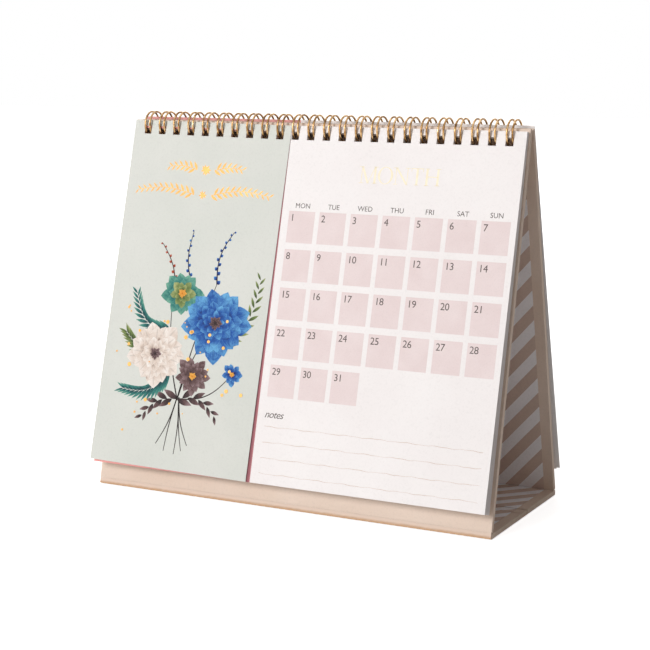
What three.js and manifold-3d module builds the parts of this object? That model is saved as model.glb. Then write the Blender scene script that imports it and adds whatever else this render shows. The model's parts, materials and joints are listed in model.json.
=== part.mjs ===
// Desk planner: a folding tent easel of wrapped boards, with two side-by-side flip pads
// hung on one twin-loop wire. Millimetres, +Z up, +X along the binding, the pages face -Y.
import * as THREE from 'three';
import { mergeVertices } from 'three/addons/utils/BufferGeometryUtils.js';
import Module from 'manifold-3d';

const wasm = await Module();
wasm.setup();

// Binding: hole pattern and wire
const HOLE_PITCH = 25.4 / 3;
const HOLE_SIZE = 4;
const LEFT_HOLES = 10;
const RIGHT_HOLES = 14;
const RING_RADIUS = 6.35;
const WIRE_DIAMETER = 1;
const WIRE_SPREAD = 2.7;
const SPINE_BEND_RADIUS = 0.8;
const SPINE_CLEARANCE = 0.15;
const TIP_TO_SPINE = 0.85;
const SPINE_END_LENGTH = 0.6;

// Easel: boards, cover paper, lining paper
const LEAN = THREE.MathUtils.degToRad(12.6);
const PANEL_WIDTH = 212;
const PANEL_LENGTH = 186;
const TOP_ABOVE_HINGE = 1.85;
const BOARD_THICKNESS = 2;
const COVER_THICKNESS = 0.15;
const LINING_THICKNESS = 0.12;
const GLUE_GAP = 0.02;
const TURN_IN = 15;
const LINING_SIDE_MARGIN = 5;
const LINING_TOP_MARGIN = 11;
const FRONT_AXIS_OFFSET = 0.25;
const BACK_AXIS_OFFSET = 1;
const PANEL_HOLE_BELOW_HINGE = 3.1;

// Folds
const FOLD_CLEARANCE = 0.15;
const BASE_EDGE_SETBACK = 1;
const FOLD_STRIP_END_GAP = 0.4;
const MID_STRIP_THICKNESS = 0.3;
const MID_STRIP_END_GAP = 0.05;
const MID_EDGE_GAP = 0.1;

// Leaves
const LEAF_THICKNESS = 0.18;
const LEAF_GAP = 0.04;
const LEAF = { length: 173, holeMargin: 2.95 };
const LONG_TURNED_LEAF = { length: 177.2, holeMargin: 4.9 };
const LEAF_HANG_CLEARANCE = 0.3;
const PAD_GAP = 0.25;
const RIGHT_PAD_HOLE_MARGIN = 0.3;
const LEFT_PAD_OUTER_MARGIN = 8;
const RIGHT_PAD_OUTER_MARGIN = 8;
const FRONT_LEAVES = 10;
const BACK_LEAVES = 2;
const STACK_CLEARANCE = 0.1;
const FRONT_FAN = [1, 2.2].map(THREE.MathUtils.degToRad);
const BACK_FAN = [1.2, 2.6].map(THREE.MathUtils.degToRad);
const TOP_CARD_SWING = THREE.MathUtils.degToRad(0.7);

// Wire mesh steps
const WIRE_SIDES = 5;
const ARM_STEPS = 14;
const CORNER_STEPS = 2;
const TIP_STEPS = 4;

const HOLE_COUNT = LEFT_HOLES + RIGHT_HOLES;
const LEAN_SIN = Math.sin(LEAN);
const LEAN_COS = Math.cos(LEAN);
const PANEL_THICKNESS = BOARD_THICKNESS + 2 * COVER_THICKNESS + LINING_THICKNESS + 3 * GLUE_GAP;
const FRONT_OUTER = FRONT_AXIS_OFFSET + PANEL_THICKNESS;
const BACK_OUTER = BACK_AXIS_OFFSET + PANEL_THICKNESS;

// Each panel is laid out by its distance down from the hinge and out from the hinge's plane
const FRONT_FOLD = PANEL_LENGTH - TOP_ABOVE_HINGE;
const HINGE_HEIGHT = FRONT_FOLD * LEAN_COS - FRONT_OUTER * LEAN_SIN;
const BACK_FOLD = (HINGE_HEIGHT + BACK_OUTER * LEAN_SIN) / LEAN_COS;
const FRONT_FOLD_Y = -(FRONT_OUTER * LEAN_COS + FRONT_FOLD * LEAN_SIN);
const BACK_FOLD_Y = BACK_OUTER * LEAN_COS + BACK_FOLD * LEAN_SIN;
const BASE_DEPTH = BACK_FOLD_Y - FRONT_FOLD_Y;
const MID_STRIP_WIDTH = FRONT_OUTER + BACK_OUTER;
const BASE_HALF = (BASE_DEPTH - MID_STRIP_WIDTH) / 2;
const MID_FRONT_Y = FRONT_FOLD_Y + BASE_HALF;
const MID_BACK_Y = BACK_FOLD_Y - BASE_HALF;

const COVER_NUDE = 0xe6d5c8;
const LINING_BEIGE = 0xcbb3a2;
const BOARD_GREY = 0x9c968e;
const FOLD_TAN = 0xd3b195;
const PAGE_WHITE = 0xf7f5f4;
const SAGE = 0xdfe2dc;
const CORAL = 0xe88b8e;
const WIRE_GOLD = 0xc08a45;

function paper(color) {
  return new THREE.MeshStandardMaterial({ color, roughness: 0.75, metalness: 0 });
}

function part(name, geometry, material) {
  const mesh = new THREE.Mesh(geometry, material);
  mesh.name = name;
  return mesh;
}

function holeX(index) {
  return (index - (HOLE_COUNT - 1) / 2) * HOLE_PITCH;
}

// Solids for cutting and joining
function solidOf(geometry) {
  const bare = geometry.clone();
  bare.deleteAttribute('normal');
  bare.deleteAttribute('uv');
  const merged = mergeVertices(bare, 1e-5);
  return new wasm.Manifold(new wasm.Mesh({
    numProp: 3,
    vertProperties: new Float32Array(merged.attributes.position.array),
    triVerts: new Uint32Array(merged.index.array),
  }));
}

function geometryOf(solid) {
  const mesh = solid.getMesh();
  const geometry = new THREE.BufferGeometry();
  geometry.setAttribute('position', new THREE.BufferAttribute(mesh.vertProperties, 3));
  geometry.setIndex(new THREE.BufferAttribute(mesh.triVerts, 1));
  geometry.computeVertexNormals();
  return geometry;
}

function box([x0, x1], [y0, y1], [z0, z1]) {
  const geometry = new THREE.BoxGeometry(x1 - x0, y1 - y0, z1 - z0);
  return geometry.translate((x0 + x1) / 2, (y0 + y1) / 2, (z0 + z1) / 2);
}

// Square punched holes, given by their centres, through everything between two Y values
function punched(solid, holes, [y0, y1]) {
  const half = HOLE_SIZE / 2;
  const cutters = holes.map(([x, z]) => (
    solidOf(box([x - half, x + half], [y0 - 1, y1 + 1], [z - half, z + half]))
  ));
  return cutters.reduce((left, cutter) => left.subtract(cutter), solid);
}

function sheet(spanX, spanY, spanZ, holes) {
  return geometryOf(punched(solidOf(box(spanX, spanY, spanZ)), holes, spanY));
}

// Layers of a wrapped board, counted inward from the outer face of its cover
const LAYERS = layerDepths();

function layerDepths() {
  const board = COVER_THICKNESS + GLUE_GAP;
  const turnIn = board + BOARD_THICKNESS + GLUE_GAP;
  const lining = turnIn + COVER_THICKNESS + GLUE_GAP;
  return { cover: 0, board, turnIn, lining, inside: PANEL_THICKNESS };
}

// Depths from the outer face become Y values on the panel's own side of the hinge
function slice(side, outer, from, to) {
  const ends = [side * (outer - from), side * (outer - to)];
  return ends.sort((a, b) => a - b);
}

function panelHoles() {
  const z = -(PANEL_HOLE_BELOW_HINGE + HOLE_SIZE / 2);
  return Array.from({ length: HOLE_COUNT }, (_, i) => [holeX(i), z]);
}

// The slanted panels: front side -1, back side +1
function easelPanel(prefix, side, outer, fold) {
  const top = PANEL_LENGTH - fold;
  const bottom = -(HINGE_HEIGHT + (outer - PANEL_THICKNESS) * LEAN_SIN - PANEL_THICKNESS
    - FOLD_CLEARANCE) / LEAN_COS;
  const half = PANEL_WIDTH / 2;
  const wrap = COVER_THICKNESS + GLUE_GAP;
  const board = sheet(
    [-half + wrap, half - wrap],
    slice(side, outer, LAYERS.board, LAYERS.board + BOARD_THICKNESS),
    [bottom, top - wrap],
    panelHoles(),
  );
  const inner = half - LINING_SIDE_MARGIN;
  const lining = box(
    [-inner, inner],
    slice(side, outer, LAYERS.lining, LAYERS.inside),
    [bottom + FOLD_CLEARANCE, top - LINING_TOP_MARGIN],
  );
  return [
    part(`${prefix}_board`, board, paper(BOARD_GREY)),
    part(`${prefix}_cover_paper`, easelCover(side, outer, top, bottom), paper(COVER_NUDE)),
    part(`${prefix}_lining`, lining, paper(LINING_BEIGE)),
  ];
}

// Cover paper: outer face, edges and turn-ins in one skin, open at the fold
function easelCover(side, outer, top, bottom) {
  const half = PANEL_WIDTH / 2;
  const beyond = bottom - 1;
  const skin = solidOf(box([-half, half], slice(side, outer, 0, LAYERS.lining - GLUE_GAP), [bottom, top]));
  const pocket = solidOf(box(
    [-half + COVER_THICKNESS, half - COVER_THICKNESS],
    slice(side, outer, COVER_THICKNESS, LAYERS.turnIn),
    [beyond, top - COVER_THICKNESS],
  ));
  const window = solidOf(box(
    [-half + TURN_IN, half - TURN_IN],
    slice(side, outer, LAYERS.board, PANEL_THICKNESS),
    [beyond, top - TURN_IN],
  ));
  const wrap = skin.subtract(pocket).subtract(window);
  return geometryOf(punched(wrap, panelHoles(), slice(side, outer, 0, PANEL_THICKNESS)));
}

// The cover paper that bridges the front fold lies in front of the base's edge
function frontFoldStrip() {
  const half = PANEL_WIDTH / 2;
  const panelBottom = -(HINGE_HEIGHT + FRONT_AXIS_OFFSET * LEAN_SIN - PANEL_THICKNESS
    - FOLD_CLEARANCE) / LEAN_COS;
  const geometry = box(
    [-half, half],
    slice(-1, FRONT_OUTER, 0, COVER_THICKNESS),
    [-FRONT_FOLD + FOLD_STRIP_END_GAP, panelBottom - MID_STRIP_END_GAP],
  );
  return part('front_fold_strip', geometry, paper(FOLD_TAN));
}

// The flat base in two halves; direction +1 runs from the fold toward +Y
function basePanel(prefix, foldY, direction) {
  const half = PANEL_WIDTH / 2;
  const wrap = COVER_THICKNESS + GLUE_GAP;
  const span = (from, to) => [foldY + direction * from, foldY + direction * to].sort((a, b) => a - b);
  const midEnd = BASE_HALF - MID_STRIP_THICKNESS - MID_EDGE_GAP;
  const boardSpan = span(BASE_EDGE_SETBACK, midEnd);
  const boardHeights = [LAYERS.board, LAYERS.board + BOARD_THICKNESS];
  const board = box([-half + wrap, half - wrap], boardSpan, boardHeights);
  const inner = half - LINING_SIDE_MARGIN;
  const lining = box([-inner, inner], boardSpan, [LAYERS.lining, LAYERS.inside]);
  return [
    part(`${prefix}_board`, board, paper(BOARD_GREY)),
    part(`${prefix}_cover_paper`, baseCover(boardSpan), paper(COVER_NUDE)),
    part(`${prefix}_lining`, lining, paper(LINING_BEIGE)),
  ];
}

function baseCover(spanY) {
  const half = PANEL_WIDTH / 2;
  const longer = [spanY[0] - 1, spanY[1] + 1];
  const skin = solidOf(box([-half, half], spanY, [0, LAYERS.lining - GLUE_GAP]));
  const pocket = solidOf(box(
    [-half + COVER_THICKNESS, half - COVER_THICKNESS],
    longer,
    [COVER_THICKNESS, LAYERS.turnIn],
  ));
  const window = solidOf(box([-half + TURN_IN, half - TURN_IN], longer, [LAYERS.board, PANEL_THICKNESS]));
  return geometryOf(skin.subtract(pocket).subtract(window));
}

// The rear fold's paper stays with the base, because the tree is opened at that fold
function backFoldStrip() {
  const half = PANEL_WIDTH / 2;
  const y = BACK_FOLD_Y - BASE_EDGE_SETBACK + MID_STRIP_END_GAP;
  const geometry = box([-half, half], [y, y + COVER_THICKNESS], [0, LAYERS.lining]);
  return part('back_fold_strip', geometry, paper(FOLD_TAN));
}

function midFoldStrip() {
  const half = PANEL_WIDTH / 2;
  const geometry = box(
    [-half, half],
    [MID_FRONT_Y + MID_STRIP_END_GAP, MID_BACK_Y - MID_STRIP_END_GAP],
    [0, MID_STRIP_THICKNESS],
  );
  return part('base_mid_fold_strip', geometry, paper(FOLD_TAN));
}

// How far below the hinge the top edge of a leaf's holes hangs on the ring
function hangDrop(distance) {
  const sin = distance / RING_RADIUS;
  const cos = Math.sqrt(1 - sin * sin);
  const wireReach = (WIRE_DIAMETER / 2 + (LEAF_THICKNESS / 2) * sin) / cos;
  return RING_RADIUS * cos - wireReach - LEAF_HANG_CLEARANCE;
}

const PADS = {
  left: padExtent(0, LEFT_HOLES),
  right: padExtent(LEFT_HOLES, RIGHT_HOLES),
};

function padExtent(first, count) {
  const rightStart = holeX(LEFT_HOLES) - HOLE_SIZE / 2 - RIGHT_PAD_HOLE_MARGIN;
  const isLeft = first === 0;
  const x = isLeft
    ? [holeX(0) - LEFT_PAD_OUTER_MARGIN, rightStart - PAD_GAP]
    : [rightStart, holeX(HOLE_COUNT - 1) + RIGHT_PAD_OUTER_MARGIN];
  return { x, first, count };
}

// One leaf, at a distance from the hinge's plane, opened off its panel by a fan angle
function leaf(name, pad, size, side, distance, drop, fan, color, swing = 0) {
  const top = size.holeMargin - drop;
  const holeZ = -drop - HOLE_SIZE / 2;
  const holes = Array.from({ length: pad.count }, (_, i) => [holeX(pad.first + i), holeZ]);
  const faces = slice(side, distance + LEAF_THICKNESS / 2, 0, LEAF_THICKNESS);
  const geometry = sheet(pad.x, faces, [top - size.length, top], holes);
  const pivotX = holeX(pad.first + pad.count - 1);
  geometry.translate(-pivotX, 0, -holeZ).rotateY(swing).translate(pivotX, 0, holeZ);
  const mesh = part(name, geometry, paper(color));
  mesh.rotation.x = side * fan;
  return mesh;
}

function leafDistance(first, i) {
  return first + LEAF_THICKNESS / 2 + i * (LEAF_THICKNESS + LEAF_GAP);
}

// The front leaves are pressed into one block, flush with the outermost
function frontPad(name, pad, colors, topSwing = 0) {
  const first = FRONT_OUTER + STACK_CLEARANCE;
  const drop = hangDrop(leafDistance(first, FRONT_LEAVES - 1));
  return Array.from({ length: FRONT_LEAVES }, (_, i) => {
    const fan = THREE.MathUtils.lerp(FRONT_FAN[0], FRONT_FAN[1], i / (FRONT_LEAVES - 1));
    const swing = i === FRONT_LEAVES - 1 ? topSwing : 0;
    return leaf(numbered(name, i), pad, LEAF, -1, leafDistance(first, i), drop, fan, colors(i), swing);
  });
}

// The turned leaves hang loosely, each on the ring where it crosses that leaf. The outermost is
// longer than the others at its head and foot
function turnedPad(name, pad, color) {
  const first = SPINE_DISTANCE + WIRE_DIAMETER / 2 + SPINE_CLEARANCE;
  return Array.from({ length: BACK_LEAVES }, (_, i) => {
    const distance = leafDistance(first, i);
    const fan = THREE.MathUtils.lerp(BACK_FAN[0], BACK_FAN[1], i / (BACK_LEAVES - 1));
    const size = i === BACK_LEAVES - 1 ? LONG_TURNED_LEAF : LEAF;
    return leaf(numbered(name, i), pad, size, 1, distance, hangDrop(distance), fan, color);
  });
}

function numbered(name, i) {
  return `${name}_${String(i + 1).padStart(2, '0')}`;
}

// Twin-loop wire, laid out on the ring's surface: x along the binding, run round the ring
const SPINE_DISTANCE = BACK_OUTER + SPINE_CLEARANCE + WIRE_DIAMETER / 2;
const SPINE_ANGLE = Math.asin(SPINE_DISTANCE / RING_RADIUS);
const TIP_RUN = 2 * Math.PI * RING_RADIUS - TIP_TO_SPINE;

function loopRuns(index) {
  const x = holeX(index);
  const half = WIRE_SPREAD / 2;
  const armEnd = TIP_RUN - half;
  const points = [];
  for (let i = 0; i < CORNER_STEPS; i += 1) {
    const angle = (i / CORNER_STEPS) * (Math.PI / 2);
    points.push([
      x - half - SPINE_BEND_RADIUS + SPINE_BEND_RADIUS * Math.sin(angle),
      SPINE_BEND_RADIUS * (1 - Math.cos(angle)),
    ]);
  }
  for (let i = 0; i < ARM_STEPS; i += 1) {
    points.push([x - half, THREE.MathUtils.lerp(SPINE_BEND_RADIUS, armEnd, i / ARM_STEPS)]);
  }
  for (let i = 0; i < TIP_STEPS / 2; i += 1) {
    const angle = (i / TIP_STEPS) * Math.PI;
    points.push([x - half * Math.cos(angle), armEnd + half * Math.sin(angle)]);
  }
  const mirrored = points.map(([px, run]) => [2 * x - px, run]).reverse();
  return [...points, [x, TIP_RUN], ...mirrored];
}

function wireRuns() {
  const loops = Array.from({ length: HOLE_COUNT }, (_, i) => loopRuns(i)).flat();
  const [firstX] = loops[0];
  const [lastX] = loops[loops.length - 1];
  return [[firstX - SPINE_END_LENGTH, 0], ...loops, [lastX + SPINE_END_LENGTH, 0]];
}

function onRing([x, run]) {
  const angle = SPINE_ANGLE - run / RING_RADIUS;
  return new THREE.Vector3(x, RING_RADIUS * Math.sin(angle), -RING_RADIUS * Math.cos(angle));
}

// One unbroken tube: a ring of sides at each point, squared to the path, with flat ends
function wireTube(points) {
  const positions = [];
  const index = [];
  points.forEach((point, i) => {
    const before = points[Math.max(i - 1, 0)];
    const after = points[Math.min(i + 1, points.length - 1)];
    const tangent = after.clone().sub(before).normalize();
    const outward = new THREE.Vector3(0, point.y, point.z).normalize();
    outward.addScaledVector(tangent, -outward.dot(tangent)).normalize();
    const across = tangent.clone().cross(outward);
    for (let side = 0; side < WIRE_SIDES; side += 1) {
      const angle = (side / WIRE_SIDES) * 2 * Math.PI;
      const vertex = point.clone()
        .addScaledVector(outward, (WIRE_DIAMETER / 2) * Math.cos(angle))
        .addScaledVector(across, (WIRE_DIAMETER / 2) * Math.sin(angle));
      positions.push(vertex.x, vertex.y, vertex.z);
    }
  });
  for (let i = 0; i + 1 < points.length; i += 1) {
    for (let side = 0; side < WIRE_SIDES; side += 1) {
      const a = i * WIRE_SIDES + side;
      const b = i * WIRE_SIDES + ((side + 1) % WIRE_SIDES);
      index.push(a, b, b + WIRE_SIDES, a, b + WIRE_SIDES, a + WIRE_SIDES);
    }
  }
  const last = (points.length - 1) * WIRE_SIDES;
  for (let side = 1; side + 1 < WIRE_SIDES; side += 1) {
    index.push(0, side + 1, side, last, last + side, last + side + 1);
  }
  const geometry = new THREE.BufferGeometry();
  geometry.setAttribute('position', new THREE.Float32BufferAttribute(positions, 3));
  geometry.setIndex(index);
  geometry.computeVertexNormals();
  return geometry;
}

// Least clear space between two stretches of the wire that don't follow one another
function leastGap(points) {
  const dense = [];
  let travelled = 0;
  for (let i = 0; i + 1 < points.length; i += 1) {
    const length = points[i].distanceTo(points[i + 1]);
    const steps = Math.max(1, Math.ceil(length / 0.3));
    for (let k = 0; k < steps; k += 1) {
      const at = points[i].clone().lerp(points[i + 1], k / steps);
      dense.push({ at, run: travelled + (length * k) / steps });
    }
    travelled += length;
  }
  let least = Infinity;
  for (let i = 0; i < dense.length; i += 1) {
    for (let j = i + 1; j < dense.length; j += 1) {
      if (dense[j].run - dense[i].run < 3 * WIRE_DIAMETER) continue;
      if (Math.abs(dense[j].at.x - dense[i].at.x) > HOLE_PITCH) continue;
      least = Math.min(least, dense[i].at.distanceTo(dense[j].at));
    }
  }
  return least - WIRE_DIAMETER;
}

function twinLoopWire() {
  const points = wireRuns().map(onRing);
  console.log(`twin_loop_wire: least gap to itself ${leastGap(points).toFixed(2)} mm`);
  const gold = new THREE.MeshStandardMaterial({ color: WIRE_GOLD, roughness: 0.3, metalness: 0.9 });
  return part('twin_loop_wire', wireTube(points), gold);
}

function cardColor(i) {
  return i === FRONT_LEAVES - 1 ? SAGE : CORAL;
}

function buildPlanner() {
  const front = new THREE.Group();
  front.rotation.x = -LEAN;
  front.add(...easelPanel('front', -1, FRONT_OUTER, FRONT_FOLD));
  front.add(frontFoldStrip());
  front.add(...frontPad('left_card', PADS.left, cardColor, TOP_CARD_SWING));
  front.add(...frontPad('right_page', PADS.right, () => PAGE_WHITE));

  const back = new THREE.Group();
  back.rotation.x = LEAN;
  back.add(...easelPanel('back', 1, BACK_OUTER, BACK_FOLD));
  back.add(twinLoopWire());
  back.add(...turnedPad('turned_left_card', PADS.left, CORAL));
  back.add(...turnedPad('turned_right_page', PADS.right, PAGE_WHITE));

  const hinge = new THREE.Group();
  hinge.position.z = HINGE_HEIGHT;
  hinge.add(front, back);

  const planner = new THREE.Group();
  planner.add(hinge);
  planner.add(...basePanel('base_front', FRONT_FOLD_Y, 1));
  planner.add(...basePanel('base_rear', BACK_FOLD_Y, -1));
  planner.add(midFoldStrip(), backFoldStrip());
  planner.updateMatrixWorld(true);
  const bounds = new THREE.Box3().setFromObject(planner, true);
  const centre = bounds.getCenter(new THREE.Vector3());
  planner.position.set(-centre.x, -centre.y, -bounds.min.z);
  planner.updateMatrixWorld(true);
  reportPivots(planner.position);
  return planner;
}

// Pivot lines in the finished part's frame, as the joints state them
function reportPivots(shift) {
  const show = (name, y, z) => {
    console.log(`${name}: y ${(y + shift.y).toFixed(4)} z ${(z + shift.z).toFixed(4)}`);
  };
  show('ring and leaf hinge', 0, HINGE_HEIGHT);
  show('front fold', FRONT_FOLD_Y, 0);
  show('mid fold, front edge', MID_FRONT_Y, 0);
  show('mid fold, back edge', MID_BACK_Y, 0);
  show('rear fold', BACK_FOLD_Y, 0);
}

export default buildPlanner();
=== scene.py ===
"""Looks for the desk planner: a folding board easel with cards and month pages on a twin-loop wire.

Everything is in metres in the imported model's frame. Print is laid out in millimetres on its own
sheet, from the sheet's top left corner, and then placed on that sheet.
"""

import json
import math

import bmesh
import bpy
from mathutils import Matrix, Vector


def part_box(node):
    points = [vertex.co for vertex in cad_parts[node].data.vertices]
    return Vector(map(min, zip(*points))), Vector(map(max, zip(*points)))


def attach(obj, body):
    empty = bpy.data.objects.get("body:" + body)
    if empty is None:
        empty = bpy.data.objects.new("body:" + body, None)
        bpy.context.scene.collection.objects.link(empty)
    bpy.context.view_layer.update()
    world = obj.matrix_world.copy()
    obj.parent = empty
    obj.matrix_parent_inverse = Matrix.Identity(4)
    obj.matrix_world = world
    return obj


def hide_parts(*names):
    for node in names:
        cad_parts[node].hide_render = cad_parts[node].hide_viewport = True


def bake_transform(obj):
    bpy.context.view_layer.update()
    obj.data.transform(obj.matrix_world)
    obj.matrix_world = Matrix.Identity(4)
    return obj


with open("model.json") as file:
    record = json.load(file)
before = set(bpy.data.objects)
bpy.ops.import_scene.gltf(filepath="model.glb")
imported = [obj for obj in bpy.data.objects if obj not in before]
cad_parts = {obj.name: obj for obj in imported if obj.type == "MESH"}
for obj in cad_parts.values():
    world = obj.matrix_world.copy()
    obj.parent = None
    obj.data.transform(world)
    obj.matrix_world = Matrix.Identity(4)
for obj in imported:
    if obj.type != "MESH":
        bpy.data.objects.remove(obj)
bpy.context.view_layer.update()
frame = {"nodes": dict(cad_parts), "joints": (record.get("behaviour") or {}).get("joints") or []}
MM = 0.001

# Camera, as fitted to the photograph: degrees, metres, and millimetres of lens and sensor
CAMERA_YAW = 27.381
CAMERA_PITCH = 9.693
CAMERA_DISTANCE = 0.8258
CAMERA_RISE = 0.0819
CAMERA_LENS = 91.41
CAMERA_SENSOR = 36

# Lamps: name, place, height of the point that they face, width and power
LAMPS = (
    ("key", (-0.8, -2.3, 1.05), 0.09, 1.2, 47),
    ("fill", (-1.0, 1.9, 1.1), 0.09, 1.6, 16),
    ("top", (-0.1, -0.1, 1.6), 0.1, 1.2, 4),
)

# Light all round, beside the lamps
AMBIENT = 0.155
AMBIENT_COLOUR = (1, 0.9, 0.84, 1)

# Floor, in metres: half its width, its drop below the base, its own shade, the glow added where it is
# seen, near the object and far from it, and the distances between which that glow rises
FLOOR_REACH = 4
FLOOR_DROP = 0.0003
FLOOR_SHADE = 0.88
FLOOR_GLOW = 0.78
FLOOR_GLOW_FAR = 1.0
GLOW_RISES_FROM = 0.25
GLOW_RISES_TO = 0.7

# Lean of each panel
LEAN = math.radians(12.6)

# Twin-loop wire, in millimetres
LOOP_COUNT = 24
LOOP_PITCH = 25.4 / 3
RING_RADIUS = 6.35
WIRE_DIAMETER = 1.0
WIRE_SIDES = 8
WIRE_SPREAD = 2.7
SPINE_BEND_RADIUS = 0.8
SPINE_DISTANCE = 4.13
TIP_TO_SPINE = 0.85
SPINE_END_LENGTH = 0.6

# Month page: day squares
DAY_COUNT = 31
DAY_COLUMNS = 7
DAY_WIDTH = 14.15
DAY_HEIGHT = 15.4
DAY_STEP_X = 16.56
DAY_STEP_Y = 18.6
DAY_LEFT = 3.9
DAY_TOP = 41.5

# Month page: lettering
DIGIT_HEIGHT = 3.5
DIGIT_INSET_X = 1.0
DIGIT_INSET_Y = 1.3
WEEKDAYS = ("MON", "TUE", "WED", "THU", "FRI", "SAT", "SUN")
WEEKDAY_BASELINE = 40.0
WEEKDAY_HEIGHT = 2.5
TITLE_BASELINE = 26.6
TITLE_HEIGHT = 8.0
TITLE_CENTRE = 59.9
TITLE_THICK = 1.05
TITLE_THIN = 0.36
SERIF_HEIGHT = 0.28
SERIF_REACH = 1.15

# Capital height of the built-in face, as a share of its size
CAPITAL_SHARE = 0.729

# Month page: notes
NOTE_LINES = (145.5, 153.0, 160.6, 168.0)
NOTE_LEFT = 4.3
NOTE_RIGHT = 116.4
NOTE_STEPS = 90
NOTE_WIDTH = 0.16
NOTE_WIDTH_CHANGE = 0.06
NOTE_WORD_LEFT = 3.7
NOTE_WORD_BASELINE = 141.3
NOTE_WORD_HEIGHT = 3.6

# Two waves of each note line: height, angle gained in a millimetre, and shift from row to row
NOTE_WAVES = ((0.16, 0.42, 2.1), (0.1, 0.97, 1.3))

# Thickness of print, and the height of each printed layer above its sheet
INK = 0.005
LAYER = 0.006

# Card print: the rise from each petal or blade to the next, the turn between petals, where a petal is
# widest, the shape of the seeds in a bloom's heart, and the lower left corner of the strewn dots
PETAL_RISE = INK * 0.4
BLADE_RISE = INK * 0.3
PETAL_TURN = 2.4
PETAL_BELLY = 0.66
SEED_BELLY = 0.6
SEED_WIDTH = 0.42
DOTS_CORNER = (7, -158, 0)

# Lining paper: width across one pair of stripes, and how far their edges wander, as a share of it
STRIPE_PERIOD = 10.6
STRIPE_WANDER = 0.012

# Paper in the groove of the base's middle fold: its sag, thickness and gap to the lining, the lap over
# the lining, and how far out and down it is at three places where it turns over a board's edge
GROOVE_SAG = 0.45
GROOVE_PAPER = 0.1
GROOVE_GAP = 0.03
GROOVE_LAP = 0.6
GROOVE_TURN = ((-0.2, 0), (0.1, 0.08), (0.4, GROOVE_SAG / 2))
GROOVE_COLUMNS = 8

# The plain margins: how far they lie below the lining, in from the board's end, and above the strip under
# them
MARGIN_DROP = 0.06
MARGIN_INSET = 0.3
MARGIN_FOOT = 0.02

# Height in millimetres up to which painted shade darkens the cover paper at the base's lower edges
FOLD_SHADE_HEIGHT = 2.4

# Depth of the roughness of paper, and of metal and foil, in metres
PAPER_TOOTH = 0.00002
METAL_TOOTH = 0.00001


def linear(hex_colour):
    """A colour written as six hexadecimal digits, in linear light."""
    parts = [int(hex_colour[i:i + 2], 16) / 255 for i in (0, 2, 4)]
    return tuple(p / 12.92 if p <= 0.04045 else ((p + 0.055) / 1.055) ** 2.4 for p in parts) + (1.0,)


def grey(level):
    return (level, level, level, 1)


# Node building, for materials and for Geometry Nodes

def feed(tree, value, socket):
    """Links another node's output to a socket, or sets the socket to a plain value."""
    if isinstance(value, bpy.types.NodeSocket):
        tree.links.new(value, socket)
    else:
        socket.default_value = value


def add(tree, kind, inputs=None, **settings):
    """A new node with these settings, and with links or values for its inputs."""
    node = tree.nodes.new(kind)
    for key, value in settings.items():
        setattr(node, key, value)
    for label, value in (inputs or {}).items():
        feed(tree, value, node.inputs[label])
    return node


def calculated(tree, operation, *values):
    return add(tree, "ShaderNodeMath", dict(enumerate(values)), operation=operation).outputs[0]


def ranged(tree, value, low, high, first=0.0, last=1.0):
    """A value carried from the range between low and high to that between first and last."""
    inputs = {"Value": value, "From Min": low, "From Max": high, "To Min": first, "To Max": last}
    return add(tree, "ShaderNodeMapRange", inputs).outputs[0]


def axis(tree, vector, name):
    return add(tree, "ShaderNodeSeparateXYZ", {0: vector}).outputs[name]


def combined(tree, **parts):
    return add(tree, "ShaderNodeCombineXYZ", parts).outputs[0]


# Shader building

def object_coordinates(tree, stretch=(1, 1, 1)):
    source = add(tree, "ShaderNodeTexCoord")
    mapping = add(tree, "ShaderNodeMapping", {"Vector": source.outputs["Object"], "Scale": stretch})
    return mapping.outputs["Vector"]


def new_material(name, roughness, metallic=0.0):
    """A material with its tree, its shader, and the coordinates that its patterns read."""
    material = bpy.data.materials.new(name)
    material.use_nodes = True
    tree = material.node_tree
    shader = tree.nodes["Principled BSDF"]
    shader.inputs["Roughness"].default_value = roughness
    shader.inputs["Metallic"].default_value = metallic
    return material, tree, shader, object_coordinates(tree)


def noise(tree, vector, scale, detail=4.0, roughness=0.55, distortion=0.0):
    inputs = {"Vector": vector, "Scale": scale, "Detail": detail, "Roughness": roughness,
              "Distortion": distortion}
    return add(tree, "ShaderNodeTexNoise", inputs).outputs["Fac"]


def ramp(tree, factor, *stops):
    node = add(tree, "ShaderNodeValToRGB", {"Fac": factor})
    elements = node.color_ramp.elements
    while len(elements) < len(stops):
        elements.new(0.5)
    for element, (position, colour) in zip(elements, stops):
        element.position = position
        element.color = colour
    return node.outputs["Color"]


def mix(tree, factor, first, second, blend="MIX"):
    inputs = {0: factor, 6: first, 7: second}
    return add(tree, "ShaderNodeMix", inputs, data_type="RGBA", blend_type=blend).outputs[2]


def multiplied(tree, first, second, factor=1.0):
    return mix(tree, factor, first, second, "MULTIPLY")


def bump(tree, shader, height, distance, strength):
    node = add(tree, "ShaderNodeBump", {"Height": height, "Distance": distance, "Strength": strength})
    feed(tree, node.outputs["Normal"], shader.inputs["Normal"])


def fibrous(tree, shader, vector, colour):
    """Paper of this colour, with the tooth of uncoated paper: fine grain and short level fibres."""
    feed(tree, colour, shader.inputs["Base Color"])
    grain = noise(tree, vector, 2600, detail=3)
    strands = noise(tree, object_coordinates(tree, (900, 900, 2600)), 1, detail=2)
    bump(tree, shader, mix(tree, 0.4, grain, strands), PAPER_TOOTH, 0.35)


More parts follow.
